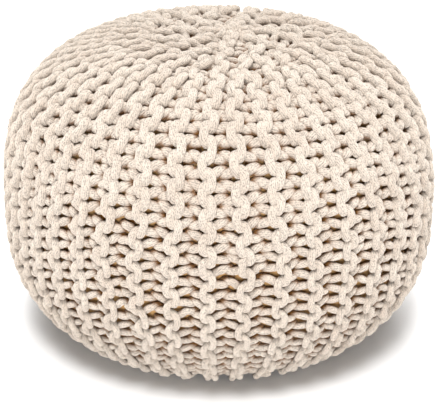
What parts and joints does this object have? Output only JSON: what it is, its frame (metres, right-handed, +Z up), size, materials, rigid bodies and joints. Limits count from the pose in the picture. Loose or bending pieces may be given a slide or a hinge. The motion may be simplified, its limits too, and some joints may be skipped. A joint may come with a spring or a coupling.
{
  "type": "knitted pouf",
  "caption": "Round filled floor seat with a chunky cotton cord cover, knitted in ribs that run from a gathered top to a flat base.",
  "frame": {"origin": "middle of the flat foot, on the floor, under the middle of the widest ring", "axes": "+Z up, -Y towards the side seen in the picture, +X to that view's right"},
  "size_m": [0.5009, 0.5008, 0.3489],
  "materials": {
    "cotton_cord": "undyed pale beige cotton, plied into thick soft cord and knitted, matt with a fine fuzz"
  },
  "bodies": {
    "root": {"knitted_body": "cotton_cord"}
  },
  "joints": []
}
